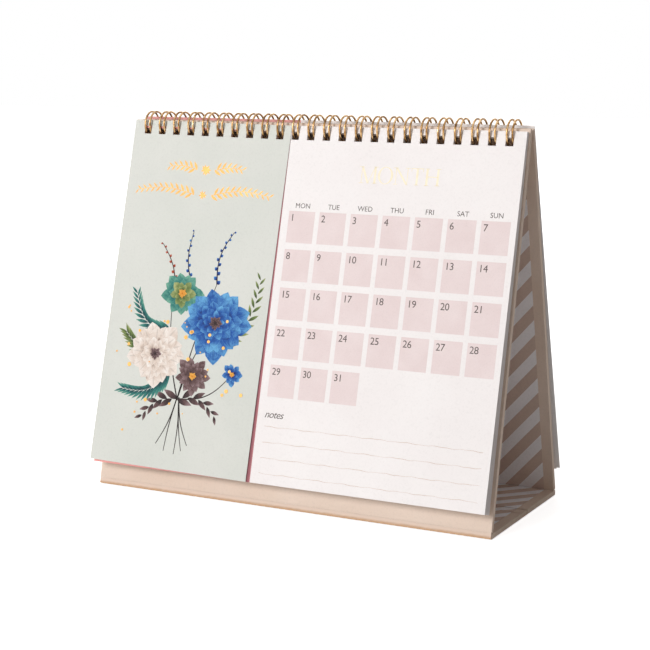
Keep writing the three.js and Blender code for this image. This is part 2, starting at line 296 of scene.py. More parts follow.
def paper(name, base, shade, roughness=0.82, cloud_scale=26, speck_scale=900, speck=0.025):
    """Paper of one printed or dyed colour, with slow clouding and fine specks of fibre."""
    material, tree, shader, vector = new_material(name, roughness)
    clouds = noise(tree, vector, cloud_scale, detail=5)
    cloud = ramp(tree, clouds, (0.32, linear(shade)), (0.68, linear(base)))
    specks = noise(tree, vector, speck_scale, detail=6, roughness=0.7)
    grain = ramp(tree, specks, (0.25, grey(1 - 3 * speck)), (0.5, grey(1)))
    fibrous(tree, shader, vector, multiplied(tree, cloud, grain))
    shader.inputs["Specular IOR Level"].default_value = 0.35
    return material


def coral_card():
    """Coral card under the top one, with painted shade: its colour darkens toward its right edge, in the gap
    beside the pages.
    """
    material, tree, shader, vector = new_material("coral card", 0.82)
    low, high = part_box("left_card_09")
    level = ranged(tree, axis(tree, vector, "X"), low.x, high.x)
    # Painted shade: the coral darkens toward the card's right edge, where it sits in the gap beside the
    # pages
    colour = ramp(tree, level, (0.1, linear("EFA5A0")), (0.9, linear("DF9290")), (0.965, linear("B56F75")),
                  (0.988, linear("945B62")), (0.998, linear("C07C82")))
    fibrous(tree, shader, vector, colour)
    return material


def fold_with_painted_shade():
    """Cover paper at a fold, bent round the board's lower edge, with painted shade: tan toward the bottom of
    the fold.
    """
    material, tree, shader, vector = new_material("nude paper at a fold", 0.82)
    level = ranged(tree, axis(tree, vector, "Z"), 0, FOLD_SHADE_HEIGHT * MM)
    uneven = calculated(tree, "MULTIPLY", noise(tree, vector, 300), 0.35)
    ragged = calculated(tree, "ADD", level, uneven)
    # Painted shade: tan at the bottom of the fold, fading to the cover colour above a ragged line
    fibrous(tree, shader, vector, ramp(tree, ragged, (0.55, linear("CDA683")), (1.0, linear("E6D0C0"))))
    return material


def striped_lining(name, direction, offset=0.0):
    """Diagonal stripes of two pale papers. The direction is the way across the stripes."""
    material, tree, shader, vector = new_material(name, 0.8)
    stripes_per_metre = [part / (STRIPE_PERIOD * MM * math.sqrt(2)) for part in direction]
    across = add(tree, "ShaderNodeVectorMath", {0: vector, 1: stripes_per_metre}, operation="DOT_PRODUCT")
    wander = noise(tree, vector, 60, detail=2)
    shifted = calculated(tree, "MULTIPLY_ADD", wander, STRIPE_WANDER, across.outputs["Value"])
    wave = calculated(tree, "PINGPONG", calculated(tree, "ADD", shifted, offset), 0.5)
    stripes = ramp(tree, wave, (0.243, linear("D6BFB2")), (0.257, linear("FEFCFE")))
    specks = noise(tree, vector, 900, detail=6, roughness=0.7)
    grain = ramp(tree, specks, (0.25, grey(0.9)), (0.55, grey(1)))
    fibrous(tree, shader, vector, multiplied(tree, stripes, grain))
    return material


def wire_gold():
    """Antique gold coating: warm metal, darker and rougher in patches where it has tarnished."""
    material, tree, shader, vector = new_material("antique gold wire", 0.28, 1.0)
    tarnish = noise(tree, vector, 420, roughness=0.6)
    colour = ramp(tree, tarnish, (0.34, linear("6E4E2C")), (0.5, linear("AA8455")), (0.7, linear("DDBE92")))
    feed(tree, colour, shader.inputs["Base Color"])
    feed(tree, ranged(tree, tarnish, 0, 1, 0.4, 0.2), shader.inputs["Roughness"])
    bump(tree, shader, noise(tree, vector, 1800, detail=3), METAL_TOOTH, 0.3)
    return material


def foil(name, low, high, metal):
    """Gold foil stamped into paper, with a painted glint: random lighter patches in its colour that break up
    over the fibres.
    """
    material, tree, shader, vector = new_material(name, 0.42, metal)
    painted_glint = noise(tree, vector, 160, detail=5, roughness=0.65)
    # Painted glint: lighter patches in the foil's colour
    feed(tree, ramp(tree, painted_glint, (0.3, linear(low)), (0.65, linear(high))), shader.inputs["Base Color"])
    bump(tree, shader, noise(tree, vector, 2200, detail=3), METAL_TOOTH, 0.4)
    return material


def attribute(tree, name):
    return add(tree, "ShaderNodeAttribute", attribute_name=name).outputs["Fac"]


def watercolour(name, dark, middle, light, scale):
    """Painted colour that pools at a petal's foot, thins toward its tip and streaks along it."""
    material, tree, shader, vector = new_material(name, 0.85)
    along, across = attribute(tree, "along"), attribute(tree, "across")
    wash = noise(tree, vector, scale, detail=7, roughness=0.68, distortion=0.9)
    stretched = combined(tree, X=calculated(tree, "MULTIPLY", across, 5), Y=along, Z=wash)
    streaks = noise(tree, stretched, 2.4, roughness=0.6)
    paint = calculated(tree, "MULTIPLY", wash, 0.5)
    paint = calculated(tree, "MULTIPLY_ADD", streaks, 0.25, paint)
    paint = calculated(tree, "MULTIPLY_ADD", along, 0.3, paint)
    colour = ramp(tree, paint, (0.44, linear(dark)), (0.56, linear(middle)), (0.72, linear(light)))
    vein = ramp(tree, across, (0.0, grey(0.72)), (0.12, grey(1)))
    fibrous(tree, shader, vector, multiplied(tree, colour, vein, 0.8))
    return material


def ink(name, hex_colour):
    """Printing ink that is a little lighter in small patches."""
    material, tree, shader, vector = new_material(name, 0.7)
    colour = linear(hex_colour)
    lighter = tuple(part + 0.05 for part in colour[:3]) + (1,)
    patches = ramp(tree, noise(tree, vector, 700), (0.35, colour), (0.75, lighter))
    feed(tree, patches, shader.inputs["Base Color"])
    return material


PAGE = paper("white page paper", "F8F4F3", "F4EFEE")
SAGE = paper("pale sage card", "DEDFD9", "D7DAD3", cloud_scale=18)
CORAL = coral_card()
# Turned leaves: lighter copies of the coral card and the page paper, painted light on leaves that sit in
# shade behind the wire
TURNED_CORAL_PAINTED_LIGHT = paper("coral card, turned, painted lighter", "F6BDB8", "F1B0AC")
TURNED_PAGE_PAINTED_LIGHT = paper("white page paper, turned", "FEFBFA", "FAF7F6")
BLUSH = paper("blush card", "F1DEDA", "E9D2CD")
COVER = paper("nude cover paper", "E9D6C7", "E3CEBD", cloud_scale=20, speck=0.03)
# Cover paper at the folds, with painted shade toward their lower edge
FOLD = fold_with_painted_shade()
BOARD = paper("grey binding board", "8E8780", "736C66", roughness=0.9, cloud_scale=60, speck_scale=1200,
              speck=0.08)
LINING = striped_lining("striped lining paper", direction=(1.08, -1, -1.248), offset=-0.24)
FRONT_LINING = striped_lining("striped lining paper, front", direction=(1, 1, -0.8))
GOLD_WIRE = wire_gold()
DAY_PINK = paper("pale pink print", "EDDEDD", "E8D7D6", cloud_scale=90, speck_scale=1500)
INK_GREY = ink("dark grey ink", "41332F")
INK_SOFT = ink("soft rose ink", "CDB6A9")
TITLE_FOIL = foil("pale gold foil", "E8D9B4", "F3E9CF", 0.0)
CARD_FOIL = foil("gold foil", "D89A3C", "EDB860", 0.15)
BLUE = watercolour("royal blue wash", "14184E", "2055A4", "6DB2E0", 130)
TEAL = watercolour("teal wash", "123F45", "347C74", "7DB59D", 150)
GREEN = watercolour("leaf green wash", "3C4A2A", "6E8149", "B3B77C", 160)
UMBER = watercolour("umber wash", "2A1D1F", "5F4747", "A38B8D", 170)
RUSSET = watercolour("russet wash", "7E2E1E", "B2503A", "DE8A66", 200)
CREAM = watercolour("cream wash", "8F7669", "DCCBBE", "F8F1EB", 150)
ORANGE = watercolour("orange wash", "C8701F", "E39A3A", "F4BE62", 200)


# Meshes

def in_scene(name, data):
    """A new object at the origin of the scene, for a mesh, a curve, a lamp or a camera."""
    holder = bpy.data.objects.new(name, data)
    bpy.context.scene.collection.objects.link(holder)
    return holder


def finished_mesh(name, bm):
    mesh = bpy.data.meshes.new(name)
    bm.to_mesh(mesh)
    bm.free()
    return mesh


def new_piece(name, mesh, material, body):
    mesh.name = name
    mesh.materials.clear()
    mesh.materials.append(material)
    piece = in_scene(name, mesh)
    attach(piece, body)
    return piece


def printed(name, mesh, sheet, layers, material):
    """A printed piece on its sheet, so many layers above the paper."""
    place, body, slot = sheet
    mesh.transform(place @ Matrix.Translation((0, 0, LAYER * layers)))
    new_piece(name, mesh, material, body)


def band(bm, first, second):
    """Faces from one closed row of points to the next."""
    count = len(first)
    for i in range(count):
        j = (i + 1) % count
        bm.faces.new((first[i], first[j], second[j], second[i]))


def slab_mesh(name, outlines):
    """Thin closed plates, as thick as the print, from outlines that run anticlockwise."""
    bm = bmesh.new()
    for outline in outlines:
        bottom = [bm.verts.new((x, y, 0)) for x, y in outline]
        top = [bm.verts.new((x, y, INK)) for x, y in outline]
        bm.faces.new(top)
        bm.faces.new(bottom[::-1])
        band(bm, bottom, top)
    return finished_mesh(name, bm)


def ribbon(points, width):
    """The outline of a flat band that follows a list of points."""
    left, right = [], []
    for i, (x, y) in enumerate(points):
        before = Vector(points[max(i - 1, 0)])
        after = Vector(points[min(i + 1, len(points) - 1)])
        along = (after - before).normalized()
        half = width(i / (len(points) - 1)) / 2
        left.append((x - along.y * half, y + along.x * half))
        right.append((x + along.y * half, y - along.x * half))
    return right + left[::-1]


def flattened(name, source):
    """The evaluated object as a plain mesh. The object itself is removed, with its modifiers."""
    graph = bpy.context.evaluated_depsgraph_get()
    mesh = bpy.data.meshes.new_from_object(source.evaluated_get(graph))
    mesh.name = name
    bpy.data.objects.remove(source)
    return mesh


def words(text, height, x, baseline, align="LEFT", slant=0.0, spacing=1.0):
    """Flat lettering in the built-in face, with its capital height in millimetres."""
    curve = bpy.data.curves.new("lettering", "FONT")
    curve.body = text
    curve.size = height / CAPITAL_SHARE
    curve.align_x = align
    curve.shear = slant
    curve.space_character = spacing
    curve.extrude = INK / 2
    curve.resolution_u = 3
    mesh = flattened("lettering", in_scene("lettering", curve))
    mesh.transform(Matrix.Translation((x, -baseline, 0)))
    return mesh


def joined(name, meshes):
    """One mesh in place of several, which are removed."""
    bm = bmesh.new()
    for mesh in meshes:
        bm.from_mesh(mesh)
        bpy.data.meshes.remove(mesh)
    return finished_mesh(name, bm)


def path_carrier(name, points):
    """A path through points, for a tree to follow."""
    curve = bpy.data.curves.new(name, "CURVE")
    curve.dimensions = "3D"
    spline = curve.splines.new("POLY")
    spline.points.add(len(points) - 1)
    for target, point in zip(spline.points, points):
        target.co = (*point, 1)
    return in_scene(name, curve)


def sheet_place(node):
    """Millimetres on a leaf's printed face, from its top left corner, x right and y up."""
    points = [v.co.copy() for v in frame["nodes"][node].data.vertices]

    def corner(side, end):
        """The corner furthest to that side and end, on the face towards the reader."""
        return max(points, key=lambda p: 3 * side * p.x + end * p.z - p.y)

    top_left = corner(-1, 1)
    right = (corner(1, 1) - top_left).normalized()
    up = (top_left - corner(-1, -1)).normalized()
    axes = Matrix((right, up, right.cross(up))).transposed().to_4x4()
    return Matrix.Translation(top_left) @ axes @ Matrix.Scale(MM, 4)


# Geometry Nodes

def new_tree(name, inputs):
    """A tree, and the sockets of its named inputs."""
    tree = bpy.data.node_groups.new(name, "GeometryNodeTree")
    for label, kind in inputs.items():
        tree.interface.new_socket(label, in_out="INPUT", socket_type=f"NodeSocket{kind}")
    tree.interface.new_socket("Geometry", in_out="OUTPUT", socket_type="NodeSocketGeometry")
    return tree, add(tree, "NodeGroupInput").outputs


def finish_tree(tree, geometry, material):
    realize = add(tree, "GeometryNodeRealizeInstances", {0: geometry})
    paint = add(tree, "GeometryNodeSetMaterial", {"Geometry": realize.outputs[0], "Material": material})
    add(tree, "NodeGroupOutput", {0: paint.outputs[0]})
    return tree


def grown(name, tree, values, carrier=None):
    """Runs a tree with these named inputs on a carrier object and returns the plain mesh."""
    carrier = carrier or in_scene(name, bpy.data.meshes.new(name))
    modifier = carrier.modifiers.new("grow", "NODES")
    modifier.node_group = tree
    for item in tree.interface.items_tree:
        if item.in_out == "INPUT" and item.name in values:
            modifier[item.identifier] = values[item.name]
    return flattened(name, carrier)


def repeated(tree, points, shape, **more):
    inputs = {"Points": points, "Instance": shape, **more}
    return add(tree, "GeometryNodeInstanceOnPoints", inputs).outputs[0]


def point_index(tree):
    return add(tree, "GeometryNodeInputIndex").outputs[0]


def random_size(tree, low, high, seed):
    inputs = {2: low, 3: high, "Seed": seed}
    return add(tree, "FunctionNodeRandomValue", inputs, data_type="FLOAT").outputs[1]


def grid_tree():
    """Plates in rows and columns, one for each day of the month."""
    tree, given = new_tree("day squares", {
        "Count": "Int", "Columns": "Float", "Step across": "Float", "Step down": "Float",
        "Plate size": "Vector", "Material": "Material",
    })
    index = point_index(tree)
    column = calculated(tree, "MODULO", index, given["Columns"])
    row = calculated(tree, "FLOOR", calculated(tree, "DIVIDE", index, given["Columns"]))
    across = calculated(tree, "MULTIPLY", column, given["Step across"])
    down = calculated(tree, "MULTIPLY", row, given["Step down"])
    position = combined(tree, X=across, Y=calculated(tree, "MULTIPLY", down, -1))
    points = add(tree, "GeometryNodePoints", {"Count": given["Count"], "Position": position})
    plate = add(tree, "GeometryNodeMeshCube", {"Size": given["Plate size"]})
    plates = repeated(tree, points.outputs[0], plate.outputs["Mesh"])
    return finish_tree(tree, plates, given["Material"])


def tube_tree():
    """A round wire along a path."""
    tree, given = new_tree("round wire", {
        "Path": "Geometry", "Radius": "Float", "Sides": "Int", "Material": "Material",
    })
    circle = {"Resolution": given["Sides"], "Radius": given["Radius"]}
    profile = add(tree, "GeometryNodeCurvePrimitiveCircle", circle)
    section = {"Curve": given["Path"], "Profile Curve": profile.outputs[0], "Fill Caps": True}
    sweep = add(tree, "GeometryNodeCurveToMesh", section)
    smooth = add(tree, "GeometryNodeSetShadeSmooth", {"Geometry": sweep.outputs[0]})
    return finish_tree(tree, smooth.outputs[0], given["Material"])


def whorl_tree():
    """One shape repeated round a centre in a turn that never quite repeats, each a little higher."""
    tree, given = new_tree("whorl of petals", {
        "Petal": "Object", "Count": "Int", "Turn": "Float", "Inner scale": "Float", "Rise": "Float",
        "Seed": "Int", "Material": "Material",
    })
    index = point_index(tree)
    position = combined(tree, Z=calculated(tree, "MULTIPLY", index, given["Rise"]))
    points = add(tree, "GeometryNodePoints", {"Count": given["Count"], "Position": position})
    spin = combined(tree, Z=calculated(tree, "MULTIPLY", index, given["Turn"]))
    inward = ranged(tree, index, 0, given["Count"], 1, given["Inner scale"])
    scale = calculated(tree, "MULTIPLY", inward, random_size(tree, 0.88, 1.08, given["Seed"]))
    petal = add(tree, "GeometryNodeObjectInfo", {"Object": given["Petal"]}).outputs["Geometry"]
    petals = repeated(tree, points.outputs[0], petal, Rotation=spin, Scale=scale)
    return finish_tree(tree, petals, given["Material"])


def scatter_tree():
    """Round dots of several sizes strewn over a rectangle."""
    tree, given = new_tree("strewn dots", {
        "Size across": "Float", "Size up": "Float", "Count": "Int", "Radius": "Float",
        "Thickness": "Float", "Seed": "Int", "Material": "Material",
    })
    far_corner = combined(tree, X=given["Size across"], Y=given["Size up"])
    strewn = {0: (0, 0, 0), 1: far_corner, "Seed": given["Seed"]}
    where = add(tree, "FunctionNodeRandomValue", strewn, data_type="FLOAT_VECTOR")
    points = add(tree, "GeometryNodePoints", {"Count": given["Count"], "Position": where.outputs[0]})
    round_plate = {"Vertices": 12, "Radius": given["Radius"], "Depth": given["Thickness"]}
    dot = add(tree, "GeometryNodeMeshCylinder", round_plate)
    size = random_size(tree, 0.35, 1.25, given["Seed"])
    dots = repeated(tree, points.outputs[0], dot.outputs["Mesh"], Scale=combined(tree, X=size, Y=size, Z=1))
    return finish_tree(tree, dots, given["Material"])


def spray_tree():
    """Blades in pairs along a stem, smaller toward its tip."""
    tree, given = new_tree("leaf spray", {
        "Stem": "Geometry", "Blade": "Object", "Count": "Int", "Splay": "Float", "Tip scale": "Float",
        "Rise": "Float", "Material": "Material",
    })
    index = point_index(tree)
    stem = {"Curve": given["Stem"], "Count": given["Count"]}
    points = add(tree, "GeometryNodeCurveToPoints", stem, mode="COUNT")
    tangent = points.outputs["Tangent"]
    heading = calculated(tree, "ARCTAN2", axis(tree, tangent, "Y"), axis(tree, tangent, "X"))
    side = ranged(tree, calculated(tree, "MODULO", index, 2), 0, 1, -1, 1)
    splay = calculated(tree, "MULTIPLY", side, given["Splay"])
    spin = combined(tree, Z=calculated(tree, "ADD", heading, splay))
    size = ranged(tree, index, 0, given["Count"], 1, given["Tip scale"])
    offset = combined(tree, Z=calculated(tree, "MULTIPLY", index, given["Rise"]))
    raised = add(tree, "GeometryNodeSetPosition", {"Geometry": points.outputs["Points"], "Offset": offset})
    blade = add(tree, "GeometryNodeObjectInfo", {"Object": given["Blade"]}).outputs["Geometry"]
    blades = repeated(tree, raised.outputs[0], blade, Rotation=spin, Scale=size)
    return finish_tree(tree, blades, given["Material"])


# Twin-loop wire

def ring_centre():
    pivot = next(j for j in frame["joints"] if j["name"] == "easel_fold")["pos_m"]
    low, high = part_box("twin_loop_wire")
    return Vector(((low.x + high.x) / 2, pivot[1], pivot[2]))


def loop_run(x, arm_steps=44, corner_steps=5, tip_steps=10):
    """One loop laid out flat: across the binding, and the distance run round the ring."""
    half = WIRE_SPREAD / 2
    tip = 2 * math.pi * RING_RADIUS - TIP_TO_SPINE
    arm_end = tip - half
    side = []
    for i in range(corner_steps):
        angle = i / corner_steps * math.pi / 2
        side.append((x - half - SPINE_BEND_RADIUS * (1 - math.sin(angle)),
                     SPINE_BEND_RADIUS * (1 - math.cos(angle))))
    for i in range(arm_steps):
        side.append((x - half, SPINE_BEND_RADIUS + (arm_end - SPINE_BEND_RADIUS) * i / arm_steps))
    for i in range(tip_steps // 2):
        angle = i / tip_steps * math.pi
        side.append((x - half * math.cos(angle), arm_end + half * math.sin(angle)))
    return side + [(x, tip)] + [(2 * x - px, run) for px, run in reversed(side)]


def binding_wire():
    centre = ring_centre()
    start = math.asin(SPINE_DISTANCE / RING_RADIUS) + LEAN
    flat = []
    for i in range(LOOP_COUNT):
        flat += loop_run((i - (LOOP_COUNT - 1) / 2) * LOOP_PITCH)
    flat = [(flat[0][0] - SPINE_END_LENGTH, 0)] + flat + [(flat[-1][0] + SPINE_END_LENGTH, 0)]
    points = []
    for x, run in flat:
        angle = start - run / RING_RADIUS
        offset = Vector((x, RING_RADIUS * math.sin(angle), -RING_RADIUS * math.cos(angle))) * MM
        points.append(centre + offset)
    values = {"Radius": WIRE_DIAMETER / 2 * MM, "Sides": WIRE_SIDES, "Material": GOLD_WIRE}
    mesh = grown("binding_wire", tube_tree(), values, path_carrier("wire path", points))
    wire = new_piece("binding_wire", mesh, GOLD_WIRE, "back_panel")
    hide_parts("twin_loop_wire")


# Month page

def day_squares(page):
    values = {
        "Count": DAY_COUNT,
        "Columns": float(DAY_COLUMNS),
        "Step across": DAY_STEP_X,
        "Step down": DAY_STEP_Y,
        "Plate size": (DAY_WIDTH, DAY_HEIGHT, INK),
        "Material": DAY_PINK,
    }
    mesh = grown("day_squares", grid_tree(), values)
    mesh.transform(Matrix.Translation((DAY_LEFT + DAY_WIDTH / 2, -DAY_TOP - DAY_HEIGHT / 2, 0)))
    printed("day_squares", mesh, page, 1, DAY_PINK)


def page_lettering(page):
    numbers = []
    for day in range(DAY_COUNT):
        x = DAY_LEFT + DIGIT_INSET_X + (day % DAY_COLUMNS) * DAY_STEP_X
        baseline = DAY_TOP + DIGIT_INSET_Y + DIGIT_HEIGHT + (day // DAY_COLUMNS) * DAY_STEP_Y
        numbers.append(words(str(day + 1), DIGIT_HEIGHT, x, baseline, spacing=0.94))
    printed("day_numbers", joined("day_numbers", numbers), page, 2.5, INK_GREY)
    labels = []
    for column, label in enumerate(WEEKDAYS):
        x = DAY_LEFT + DAY_WIDTH / 2 + column * DAY_STEP_X
        labels.append(words(label, WEEKDAY_HEIGHT, x, WEEKDAY_BASELINE, "CENTER"))
    printed("weekday_labels", joined("weekday_labels", labels), page, 1, INK_GREY)
    word = words("notes", NOTE_WORD_HEIGHT, NOTE_WORD_LEFT, NOTE_WORD_BASELINE, slant=0.32, spacing=0.9)
    printed("notes_word", word, page, 1, INK_GREY)


def note_lines(page):
    """Lines drawn by hand: each waves a little and changes its width."""
    outlines = []
    for row, depth in enumerate(NOTE_LINES):
        points = []
        for i in range(NOTE_STEPS + 1):
            x = NOTE_LEFT + (NOTE_RIGHT - NOTE_LEFT) * i / NOTE_STEPS
            wave = sum(height * math.sin(turn * x + shift * row) for height, turn, shift in NOTE_WAVES)
            points.append((x, -depth + wave))

        def width(t, shift=row):
            return NOTE_WIDTH + NOTE_WIDTH_CHANGE * math.sin(40 * t + shift)

        outlines.append(ribbon(points, width))
    printed("note_lines", slab_mesh("note_lines", outlines), page, 1, INK_SOFT)


# Title letters, drawn as stems, hairlines and serifs

def stroke(x0, y0, x1, y1, width):
    """A slanted or upright stroke with level ends."""
    half = width / 2
    if y1 < y0:
        x0, y0, x1, y1 = x1, y1, x0, y0
    return [(x0 - half, y0), (x0 + half, y0), (x1 + half, y1), (x1 - half, y1)]


def bar(x0, x1, y0, y1):
    return [(x0, y0), (x1, y0), (x1, y1), (x0, y1)]


def serif(x, y, upper):
    low = y - SERIF_HEIGHT if upper else y
    return bar(x - SERIF_REACH, x + SERIF_REACH, low, low + SERIF_HEIGHT)


def ring_quads(cx, cy, outer, inner, steps=28):
    quads = []
    for i in range(steps):
        a, b = (2 * math.pi * k / steps for k in (i, i + 1))
        corners = ((inner, a), (outer, a), (outer, b), (inner, b))
        quads.append([(cx + size[0] * math.cos(t), cy + size[1] * math.sin(t)) for size, t in corners])
    return quads


def title_letters():
    """The word MONTH: a list of advance width and outlines for each letter."""
    h, thick, thin = TITLE_HEIGHT, TITLE_THICK, TITLE_THIN
    m = (9.4, [stroke(1.2, 0, 1.2, h, thin), stroke(1.3, h, 4.7, 0, thick), stroke(4.7, 0, 7.9, h, thin),
               stroke(8.1, 0, 8.1, h, thick), serif(1.2, 0, False), serif(8.1, 0, False),
               serif(1.0, h, True), serif(8.3, h, True)])
    o = (8.3, ring_quads(4.1, h / 2, (3.9, 4.15), (2.85, 3.85)))
    n = (8.4, [stroke(1.2, 0, 1.2, h, thin), stroke(1.3, h, 7.0, 0, thick), stroke(7.1, 0, 7.1, h, thin),
               serif(1.2, 0, False), serif(1.0, h, True), serif(7.1, h, True)])
    t = (7.2, [bar(0.5, 6.7, h - 0.4, h), stroke(3.6, 0, 3.6, h, thick), bar(0.5, 0.8, h - 1.6, h),
               bar(6.4, 6.7, h - 1.6, h), serif(3.6, 0, False)])
    last = (8.4, [stroke(1.4, 0, 1.4, h, thick), stroke(6.9, 0, 6.9, h, thick), bar(1.4, 6.9, 3.9, 4.3),
                  serif(1.4, 0, False), serif(6.9, 0, False), serif(1.4, h, True), serif(6.9, h, True)])
    return [m, o, n, t, last]


def page_title(page):
    letters = title_letters()
    at = TITLE_CENTRE - sum(advance for advance, _ in letters) / 2
    outlines = []
    for advance, shapes in letters:
        outlines += [[(x + at, y - TITLE_BASELINE) for x, y in shape] for shape in shapes]
        at += advance
    printed("page_title", slab_mesh("page_title", outlines), page, 1, TITLE_FOIL)


# Card print: a bouquet and a gold sprig

def leaf_shape(length, width, belly=0.45, rows=9):
    """Distance along a leaf or petal and its half width there; belly is where it is widest."""
    power = math.log(0.5) / math.log(belly)
    steps = [i / rows for i in range(rows + 1)]
    return [(length * t, width / 2 * max(math.sin(math.pi * t ** power), 0.02), t) for t in steps]


def template(name, shape):
    """A hidden carrier for a leaf or petal that a tree repeats; it is removed after use."""
    bm = bmesh.new()
    along = bm.verts.layers.float.new("along")
    across = bm.verts.layers.float.new("across")
    layers = []
    for height in (0, INK):
        rows = []
        for x, half, t in shape:
            row = [bm.verts.new((x, side * half, height)) for side in (-1, 0, 1)]
            for vert, edge in zip(row, (1, 0, 1)):
                vert[along] = t
                vert[across] = edge
            rows.append(row)
        layers.append(rows)
    low, high = layers
    for i in range(len(shape) - 1):
        for k in (0, 1):
            bm.faces.new((high[i][k], high[i + 1][k], high[i + 1][k + 1], high[i][k + 1]))
            bm.faces.new((low[i][k], low[i][k + 1], low[i + 1][k + 1], low[i + 1][k]))
        bm.faces.new((low[i][0], low[i + 1][0], high[i + 1][0], high[i][0]))
        bm.faces.new((low[i + 1][2], low[i][2], high[i][2], high[i + 1][2]))
    for k in (0, 1):
        bm.faces.new((low[0][k], high[0][k], high[0][k + 1], low[0][k + 1]))
        bm.faces.new((high[-1][k], low[-1][k], low[-1][k + 1], high[-1][k + 1]))
    bmesh.ops.recalc_face_normals(bm, faces=bm.faces)
    return in_scene(name, finished_mesh(name, bm))


def stem_points(start, end, bend, steps=24):
    """A stem that bows sideways between two places on the card, measured down from its top."""
    a, b = Vector((start[0], -start[1])), Vector((end[0], -end[1]))
    across = Vector((-(b - a).y, (b - a).x)) * bend
    return [a.lerp(b, t) + across * math.sin(math.pi * t) for t in (i / steps for i in range(steps + 1))]


def bloom(name, card, tree, at, petal, count, inner, layers, material, seed):
    holder = template(name + " petal", petal)
    values = {"Petal": holder, "Count": count, "Turn": PETAL_TURN, "Inner scale": inner, "Rise": PETAL_RISE,
              "Seed": seed, "Material": material}
    mesh = grown(name, tree, values)
    bpy.data.objects.remove(holder)
    mesh.transform(Matrix.Translation((at[0], -at[1], 0)))
    printed(name, mesh, card, layers, material)


def spray(name, card, tree, stem, blade, count, splay, layers, material, tip=0.45):
    holder = template(name + " blade", blade)
    values = {"Blade": holder, "Count": count, "Splay": splay, "Tip scale": tip, "Rise": BLADE_RISE,
              "Material": material}
    mesh = grown(name, tree, values, path_carrier("stem", [(x, y, 0) for x, y in stem]))
    bpy.data.objects.remove(holder)
    printed(name, mesh, card, layers, material)


# Where the stems are gathered; places on the card are millimetres across and down
GATHER = (46, 138)

# Name, start, end, bend, leaf length and width, count, splay, layer, wash
SPRAYS = (
    ("frond_low", (40, 122), (14, 136), 0.2, (12, 2.3), 28, 0.42, 1, TEAL),
    ("frond_middle", (38, 112), (12, 108), 0.22, (12, 2.5), 28, 0.45, 3, GREEN),
    ("frond_high", (38, 106), (15, 88), 0.2, (10, 2.3), 24, 0.5, 5, TEAL),
    ("frond_right", (58, 112), (84, 76), -0.2, (9, 2.3), 22, 0.6, 2, GREEN),
    ("leaves_down_left", GATHER, (27, 148), -0.15, (9, 3.2), 9, 0.5, 2, UMBER),
    ("leaves_down_right", GATHER, (68, 144), 0.18, (9, 3.2), 9, 0.5, 2, UMBER),
    ("twig_left", (36, 90), (26, 62), -0.12, (2.6, 2.1), 12, 0.85, 3, RUSSET),
    ("twig_middle", (46, 82), (43, 55), 0.1, (2.4, 2.0), 12, 0.85, 3, BLUE),
    ("twig_right", (60, 80), (66, 54), 0.12, (2.6, 2.1), 13, 0.85, 3, BLUE),
)

# Name, centre, petal length and width, count, inner scale, layer, wash, seed
BLOOMS = (
    ("bloom_blue_outer", (62, 99), (20, 10), 26, 0.72, 8, BLUE, 4),
    ("bloom_blue_inner", (62, 99), (12, 6.5), 24, 0.42, 16, BLUE, 8),
    ("bloom_teal_outer", (41, 86), (12.5, 6.5), 20, 0.6, 7, TEAL, 7),
    ("bloom_teal_inner", (41, 86), (7.5, 4.2), 16, 0.5, 13, GREEN, 3),
    ("bloom_cream_outer", (30, 117), (17, 9.5), 24, 0.7, 9, CREAM, 11),
    ("bloom_cream_inner", (30, 117), (10.5, 6), 22, 0.45, 17, CREAM, 6),
    ("bloom_umber", (53, 126), (10.5, 4.4), 26, 0.5, 15, UMBER, 5),
    ("bloom_small", (75, 123), (6.5, 3.4), 16, 0.45, 6, BLUE, 2),
)

# Name, centre, seed length, wash
HEARTS = (
    ("heart_blue", (62, 99), 4.2, UMBER),
    ("heart_teal", (41, 86), 2.8, ORANGE),
    ("heart_cream", (30, 117), 3.8, UMBER),
    ("heart_umber", (53, 126), 2.4, ORANGE),
    ("heart_small", (75, 123), 1.6, ORANGE),
)

# Start, end, bend
STEMS = (
    (GATHER, (62, 99), 0.05), (GATHER, (36, 90), 0.05), (GATHER, (60, 80), 0.02), (GATHER, (75, 123), -0.14),
    ((36, 90), (26, 62), -0.12), ((46, 82), (43, 55), 0.1), ((60, 80), (66, 54), 0.12),
    ((46, 137), (37, 161), 0.05), ((46, 137), (42, 164), -0.02), ((47, 137), (48, 165), 0.03),
    ((47, 137), (55, 160), -0.06), ((47, 137), (52, 163), -0.03),
)


def bouquet(card, sprays, whorls):
    outlines = [ribbon(stem_points(*stem), lambda t: 0.75 - 0.4 * t) for stem in STEMS]
    printed("bouquet_stems", slab_mesh("bouquet_stems", outlines), card, 1, UMBER)
    for name, start, end, bend, leaf, count, splay, layers, wash in SPRAYS:
        stem = stem_points(start, end, bend)
        spray(name, card, sprays, stem, leaf_shape(*leaf), count, splay, layers, wash)
    for name, at, petal, count, inner, layers, wash, seed in BLOOMS:
        bloom(name, card, whorls, at, leaf_shape(*petal, PETAL_BELLY), count, inner, layers, wash, seed)
    for name, at, length, wash in HEARTS:
        seeds = leaf_shape(length, length * SEED_WIDTH, SEED_BELLY, rows=5)
        bloom(name, card, whorls, at, seeds, count=26, inner=0.3, layers=24, material=wash, seed=6)


def gold_dots(card):
    """Dots strewn over the bouquet's part of the card, above its topmost petals."""
    values = {"Size across": 76.0, "Size up": 66.0, "Count": 34, "Radius": 0.9, "Thickness": INK,
              "Seed": 12, "Material": CARD_FOIL}
    mesh = grown("gold_dots", scatter_tree(), values)
    mesh.transform(Matrix.Translation(DOTS_CORNER))
    printed("gold_dots", mesh, card, 32, CARD_FOIL)


